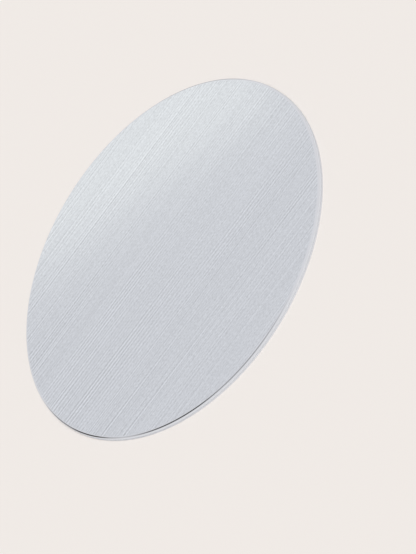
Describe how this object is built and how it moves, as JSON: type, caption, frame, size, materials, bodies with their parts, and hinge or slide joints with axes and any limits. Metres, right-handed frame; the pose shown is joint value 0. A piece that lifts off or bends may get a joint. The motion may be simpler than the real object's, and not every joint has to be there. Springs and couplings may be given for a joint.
{
  "type": "magnetic phone mount plate",
  "caption": "Thin round brushed steel disc with an adhesive back and release liner, for a magnetic phone holder to grip.",
  "frame": {"origin": "centre of the liner's underside, where the disc lies on a surface", "axes": "+Z out of the brushed face along the disc's axis; the brushing runs along X"},
  "size_m": [0.035, 0.035, 0.0005],
  "materials": {
    "brushed_steel": "satin",
    "adhesive": "matte",
    "liner": "satin"
  },
  "bodies": {
    "root": {"steel_plate": "brushed_steel", "adhesive_pad": "adhesive", "release_liner": "liner"}
  },
  "joints": []
}
